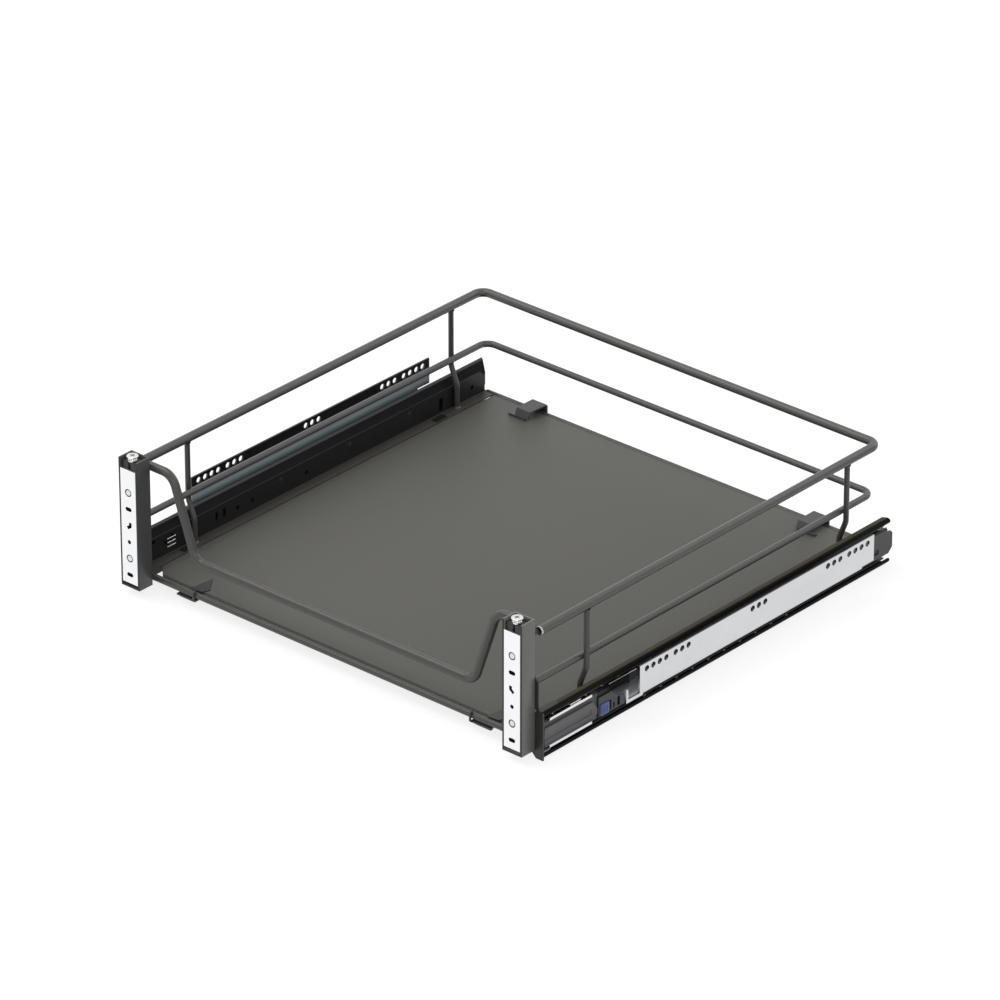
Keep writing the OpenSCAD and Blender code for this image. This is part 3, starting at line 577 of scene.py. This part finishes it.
# Floor board: chipboard faced with matt graphite melamine and closed all round with a paler
# edge band. Its front corners are cut off, and it lies on the under bars, between the shelves
# of the side rails.
board_low, board_top = 9.0, 17.0
board_half, board_front, board_back = 213.8, 23.5, 470.5
corner_cut, edge_round = 10.5, 0.5
face_thick = 0.6
band_pale = (0.20, 0.20, 0.19)
slab = begin(bpy.ops.mesh.primitive_plane_add, size=1.0)
bpy.ops.transform.resize(value=(2.0 * board_half * mm, (board_back - board_front) * mm, 1.0))
move_to(0.0, (board_back + board_front) / 2.0, board_low)
bpy.ops.mesh.select_all(action="DESELECT")
close_mesh()
for corner in slab.data.vertices:
    corner.select = corner.co.y < 0.0
bpy.ops.object.mode_set(mode="EDIT")
bpy.ops.mesh.select_mode(type="VERT")
bpy.ops.mesh.bevel(offset=corner_cut * mm, segments=1, affect="VERTICES")
bpy.ops.mesh.select_all(action="SELECT")
bpy.ops.mesh.extrude_region_move(TRANSFORM_OT_translate={
    "value": (0.0, 0.0, (board_top - board_low) * mm)})
bpy.ops.mesh.select_all(action="SELECT")
bpy.ops.mesh.bevel(offset=edge_round * mm, segments=2, affect="EDGES")
close_mesh()
melamine = powder_coat("board_laminate", (0.095, 0.094, 0.085), (0.122, 0.121, 0.108), 0.56,
                       peel=0.0006, depth=0.00001)
lay_over(melamine, under(part_of(melamine, "Z"), board_top - face_thick, soft=0.1), band_pale)
fit("board_slab", slab, melamine, "drawer", "board_laminate", "floor_board")

# Gallery: round steel wire, bent cold, butted, welded and powder coated in graphite. The two
# rails are painted paler as lit, with painted black shade up to the height given with each.
painted_underside_shade = (0.005, 0.005, 0.006)
graphite_wire = powder_coat("graphite_wire", (0.060, 0.059, 0.057), (0.088, 0.086, 0.082), 0.30)
dress(graphite_wire, "under_bars", "front_bar", "back_bar", "posts", "front_wire")
for rail, underside_shade_up_to in (("top_rail", 115.7), ("middle_rail", 65.9)):
    rail_coat = powder_coat("graphite_" + rail, (0.082, 0.081, 0.080), (0.120, 0.118, 0.115), 0.30)
    # Painted shade on the underside of each rail.
    lay_over(rail_coat, under(part_of(rail_coat, "Z"), underside_shade_up_to, soft=0.8), painted_underside_shade)
    dress(rail_coat, rail)

# Weld beads: small collars of weld metal under the powder coat, where the posts meet the top
# rail and the shelves of the side rails.
post_front, post_span = 84.0, 345.0
rail_middle, rail_underside = 229.0, 113.5
post_foot, shelf_top = 222.0, 17.6
bead_above = [(2.45, 0.0), (3.3, 0.0), (3.15, -0.6), (2.75, -1.3), (2.45, -1.7), (2.45, 0.0)]
bead_below = [(2.45, 0.0), (3.6, 0.0), (3.2, 0.5), (2.75, 1.1), (2.45, 1.5), (2.45, 0.0)]
beads = join(spun(bead_above, (rail_middle, post_front, rail_underside), "z", steps=24),
             spun(bead_below, (post_foot, post_front, shelf_top), "z", steps=24))
beads = join(*repeat(beads, (post_span, 0.0)))
fit("weld_beads", join(*both_sides(beads)), graphite_wire, "drawer", "graphite_wire")

# Rail plugs: a thin steel stub on each front bracket enters the open end of the top rail. The
# cut end of the rail shows bare steel round a dark hollow.
rail_height, rail_end = 117.2, 23.0
stub_middle, stub_front = 228.5, 16.5
rim_outline = [(2.0, 1.3), (3.1, 1.3), (3.1, 0.3), (3.3, 0.05), (3.7, 0.0), (3.95, 0.2),
               (4.0, 0.5), (4.0, 1.5), (2.0, 1.5), (2.0, 1.3)]
stub_outline = [(0.0, 0.0), (2.0, 0.0), (2.0, 6.6), (1.7, 7.8), (0.0, 7.8)]
plug_steel = sheet_metal("plug_steel", (0.42, 0.42, 0.42), (0.56, 0.56, 0.56), 0.34, 0.06, even)
rim = spun(rim_outline, (rail_middle, rail_end, rail_height), "y", steps=40)
stub = spun(stub_outline, (stub_middle, stub_front, rail_height), "y", steps=24)
for side, cut_end, plug in zip(sides, both_sides(rim), both_sides(stub)):
    fit("rail_rim_" + side, cut_end, plug_steel, "drawer", "plug_steel", "rail_plugs")
    fit("rail_stub_" + side, plug, rail_black, "drawer", "graphite_sheet")


# Front brackets: channels of graphite sheet bent up from a flat blank, open to the door and
# closed below, with a window and two slots pressed out of the web. The right one is painted
# paler as lit, the left one darker as shaded, and the door edges carry painted black shade.
def subtract(piece, *cutters):
    """Cuts shapes out of a piece and throws them away."""
    take(piece)
    for cutter in cutters:
        cut = piece.modifiers.new("cut", "BOOLEAN")
        cut.operation = "DIFFERENCE"
        cut.solver = "EXACT"
        cut.object = cutter
        bpy.ops.object.modifier_apply(modifier=cut.name)
        bpy.data.objects.remove(cutter)


def soften(piece, radius):
    """Rounds every sharp edge a little."""
    take(piece)
    rounded = piece.modifiers.new("edges", "BEVEL")
    rounded.width = radius * mm
    rounded.segments = 2
    rounded.angle_limit = math.radians(40.0)
    bpy.ops.object.modifier_apply(modifier=rounded.name)


bracket_middle, bracket_half = 219.75, 10.75
bracket_deep, bracket_low, bracket_top = 16.5, 7.0, 131.5
bracket_sheet = 1.6
past = 8.0
web_front, web_back = 10.0, 20.0
window_inside, window_outside, window_low, window_high = 218.75, 225.25, 111.0, 128.0
bolt_height, bolt_pitch = 35.75, 64.0
slot_half, slot_reach = 2.3, 4.8
edge_deep = 0.15
edge_painted_shade = (0.005, 0.005, 0.005)
# Shaded and lit copies of one coat, painted paler on the right.
bracket_coats = (
    powder_coat("graphite_bracket_shaded", (0.070, 0.070, 0.070), (0.098, 0.098, 0.097), 0.42),
    powder_coat("graphite_bracket_lit", (0.185, 0.185, 0.181), (0.240, 0.240, 0.234), 0.42),
)
shell = block((bracket_middle - bracket_half, 0.0, bracket_low),
              (bracket_middle + bracket_half, bracket_deep, bracket_top), radius=0.0)
hollow_half = bracket_half - bracket_sheet
hollow = block((bracket_middle - hollow_half, -past, bracket_low + bracket_sheet),
               (bracket_middle + hollow_half, bracket_deep - bracket_sheet, bracket_top + past),
               radius=0.1)
window = block((window_inside, web_front, window_low), (window_outside, web_back, window_high),
               radius=0.8)
slot = block((bracket_middle - slot_half, web_front, bolt_height - slot_reach),
             (bracket_middle + slot_half, web_back, bolt_height + slot_reach),
             radius=2.2, segments=6)
subtract(shell, hollow, window, *repeat(slot, (0.0, bolt_pitch)))
soften(shell, 0.35)
for side, channel, coat in zip(sides, both_sides(shell), bracket_coats):
    # Painted black shade along the edges at the door.
    lay_over(coat, under(part_of(coat, "Y"), edge_deep - half_depth), edge_painted_shade)
    fit("bracket_" + side, channel, coat, "drawer", "graphite_sheet", "front_bracket_" + side)

# Fixing plates: bright zinc-plated pressings that take the screws of the door panel. They
# stand in the open channels of the front brackets and move up and down in them.
dress(sheet_metal("zinc_sheet", (0.82, 0.83, 0.84), (0.94, 0.94, 0.95), 0.30, 0.07),
      *pair("fixing_plate"))

# Guide bolts: flat steel heads let into the fixing plate inside black moulded bushes, with
# shanks through the slots of the bracket and a hexagon nut behind.
bolt_outline = [(0.0, 0.12), (1.9, 0.12), (2.1, 0.0), (2.5, 0.0), (2.68, 0.15), (2.68, 1.2),
                (2.0, 1.2), (2.0, 18.6), (1.7, 19.1), (0.0, 19.1)]
bush_outline = [(2.7, 0.1), (2.85, 0.0), (3.5, 0.0), (3.68, 0.15), (3.68, 1.2), (2.7, 1.2),
                (2.7, 0.1)]
nut_radius, nut_thick, nut_middle, nut_round = 4.5, 2.2, 17.9, 0.3
bush_black = moulded("block_plastic", (0.010, 0.010, 0.011), (0.018, 0.018, 0.019), 0.4)
nut = begin(bpy.ops.mesh.primitive_cylinder_add, vertices=6, radius=nut_radius * mm,
            depth=nut_thick * mm)
bpy.ops.mesh.bevel(offset=nut_round * mm, segments=2, affect="EDGES")
bpy.ops.transform.rotate(value=math.pi / 2, orient_axis="X", center_override=(0.0, 0.0, 0.0))
move_to(bracket_middle, nut_middle, bolt_height)
close_mesh()
bolt = join(spun(bolt_outline, (bracket_middle, 0.0, bolt_height), "y", steps=32), nut)
bush = spun(bush_outline, (bracket_middle, 0.0, bolt_height), "y", steps=32)
bolts, bushes = [both_sides(join(*repeat(low, (0.0, bolt_pitch)))) for low in (bolt, bush)]
for side, guides, rings in zip(sides, bolts, bushes):
    fit("bolts_" + side, guides, rivet_steel, "plate_" + side, "rivet_steel",
        "guide_bolts_" + side)
    fit("bushes_" + side, rings, bush_black, "plate_" + side, "block_plastic",
        "guide_bushes_" + side)

# Screw blocks and pads: black moulded plastic. The blocks hold the adjusting screws in the
# front brackets, and the thin pads lie on the board beside the front clips.
dress(bush_black, *pair("screw_block"), "clip_pads")

# Adjusting screws: turned steel, bright zinc plated, with a broad head, a cross recess, a
# collar on each side of the block and a thread that climbs through the tab of the fixing plate.
screw_middle = 6.5
screw_head = [(0.0, 134.0), (4.4, 134.0), (4.95, 133.8), (5.2, 133.4), (5.15, 132.8),
              (4.9, 132.5), (2.3, 130.5)]
collars = [(2.3, 130.0), (4.0, 129.95), (4.0, 128.85), (2.3, 128.8),
           (2.3, 118.7), (4.0, 118.65), (4.0, 117.55), (2.3, 117.5)]
thread_radius, thread_depth, thread_foot, half_pitch = 2.3, 0.35, 105.4, 0.4
thread = [(thread_radius - thread_depth * (i % 2), thread_foot + half_pitch * i)
          for i in reversed(range(28))]
screw_tip = [(1.6, 105.0), (0.0, 105.0)]
arm_reach, arm_half, arm_low, arm_high = 2.6, 0.6, 131.6, 135.0
screw_zinc = sheet_metal("screw_zinc", (0.72, 0.72, 0.70), (0.86, 0.86, 0.84), 0.22, 0.05, even)
screw = spun(screw_head + collars + thread + screw_tip, (bracket_middle, screw_middle, 0.0), "z",
             steps=48)
arms = [block((bracket_middle - wide, screw_middle - deep, arm_low),
              (bracket_middle + wide, screw_middle + deep, arm_high), radius=0.2)
        for wide, deep in ((arm_reach, arm_half), (arm_half, arm_reach))]
subtract(screw, *arms)
for side, turned in zip(sides, both_sides(screw)):
    fit("screw_" + side, turned, screw_zinc, "screw_" + side, "screw_zinc",
        "adjusting_screw_" + side)
